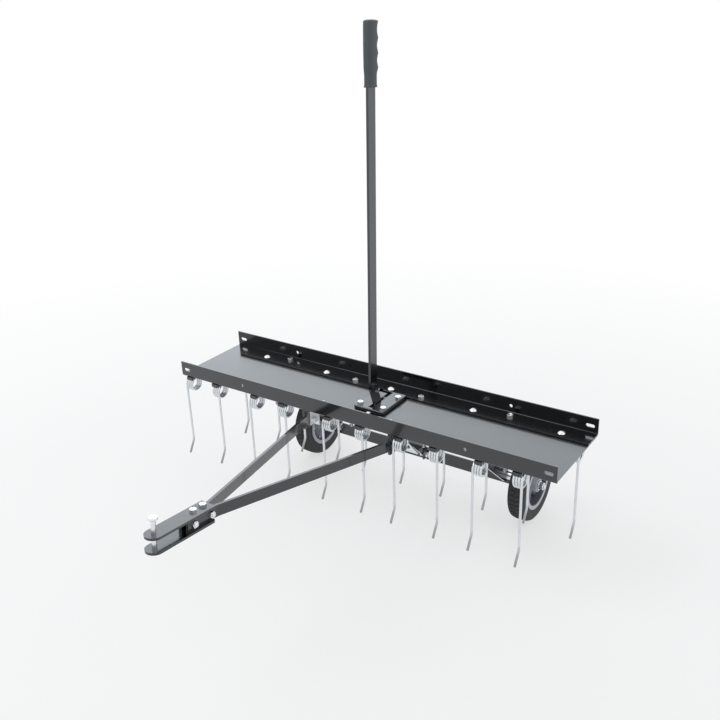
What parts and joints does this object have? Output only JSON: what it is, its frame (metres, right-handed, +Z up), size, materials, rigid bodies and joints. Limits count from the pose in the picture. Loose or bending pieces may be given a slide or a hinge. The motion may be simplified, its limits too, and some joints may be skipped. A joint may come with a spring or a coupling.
{
  "type": "tow-behind tine rake",
  "caption": "Tow-behind lawn dethatching rake with spring tines under a steel tray, a lift lever that swings its wheels, and a pinned tongue hitch.",
  "frame": {"origin": "on the ground, at the middle of the part's box in X and Y, with the wheels down", "axes": "+X across the machine to its right seen from behind the hitch, +Y towards the wheels at the back, +Z up"},
  "size_m": [1.016, 1.0064, 1.1607],
  "materials": {
    "black_coat": "gloss powder coat",
    "zinc": "bright zinc",
    "spring_zinc": "bright zinc on spring wire",
    "grip_vinyl": "matt vinyl",
    "tyre_rubber": "matt rubber",
    "rim_grey": "satin grey plastic",
    "bush_nylon": "matt nylon"
  },
  "bodies": {
    "frame": {"tray_deck": "black_coat", "front_angle": "black_coat", "rear_angle": "black_coat", "front_deck_bolts": "zinc", "rear_deck_bolts": "zinc", "deck_nuts": "zinc", "front_tine_1": "spring_zinc", "front_tine_2": "spring_zinc", "front_tine_3": "spring_zinc", "front_tine_4": "spring_zinc", "front_tine_5": "spring_zinc", "rear_tine_1": "spring_zinc", "rear_tine_2": "spring_zinc", "rear_tine_3": "spring_zinc", "rear_tine_4": "spring_zinc", "rear_tine_5": "spring_zinc", "front_tine_pads": "black_coat", "rear_tine_pads": "black_coat", "front_tine_clamps": "zinc", "rear_tine_clamps": "zinc", "front_tine_bolts": "zinc", "rear_tine_bolts": "zinc", "front_tine_nuts": "zinc", "rear_tine_nuts": "zinc", "lever_base": "black_coat", "lever_base_bolts": "zinc", "lever_base_nuts": "zinc", "pivot_ear_left": "black_coat", "pivot_ear_right": "black_coat", "pivot_bolts": "zinc", "pivot_nuts": "zinc", "draw_bar_left": "black_coat", "draw_bar_right": "black_coat", "bracket_left": "zinc", "bracket_right": "zinc", "bracket_bolts": "zinc", "bracket_nuts": "zinc", "hitch_channel": "black_coat", "hitch_top_bolts": "zinc", "hitch_side_bolts": "zinc", "hitch_nuts": "zinc"},
    "swing": {"swing_arm_left": "black_coat", "swing_arm_right": "black_coat", "crossbar": "black_coat", "lift_lever": "black_coat", "lever_clip": "black_coat", "lever_bolts": "zinc", "lever_grip": "grip_vinyl", "axle_bolts": "zinc", "axle_sleeves": "zinc", "axle_washers": "zinc", "axle_nuts": "zinc"},
    "wheel_left": {"tyre_left": "tyre_rubber", "rim_left": "rim_grey", "bush_left": "bush_nylon"},
    "wheel_right": {"tyre_right": "tyre_rubber", "rim_right": "rim_grey", "bush_right": "bush_nylon"},
    "pin": {"hitch_pin": "zinc"}
  },
  "joints": [
    {"name": "lift_swing", "type": "hinge", "parent": "frame", "child": "swing", "pos_m": [0, 0.17818, 0.302], "axis": [1, 0, 0], "range_deg": [0, 25]},
    {"name": "wheel_left_spin", "type": "hinge", "parent": "swing", "child": "wheel_left", "pos_m": [-0.32, 0.41118, 0.092], "axis": [1, 0, 0], "continuous": true},
    {"name": "wheel_right_spin", "type": "hinge", "parent": "swing", "child": "wheel_right", "pos_m": [0.32, 0.41118, 0.092], "axis": [1, 0, 0], "continuous": true},
    {"name": "hitch_pin_slide", "type": "slide", "parent": "frame", "child": "pin", "axis": [0, 0.0993, 0.9951], "range_m": [-0.0277, 0.035]}
  ]
}
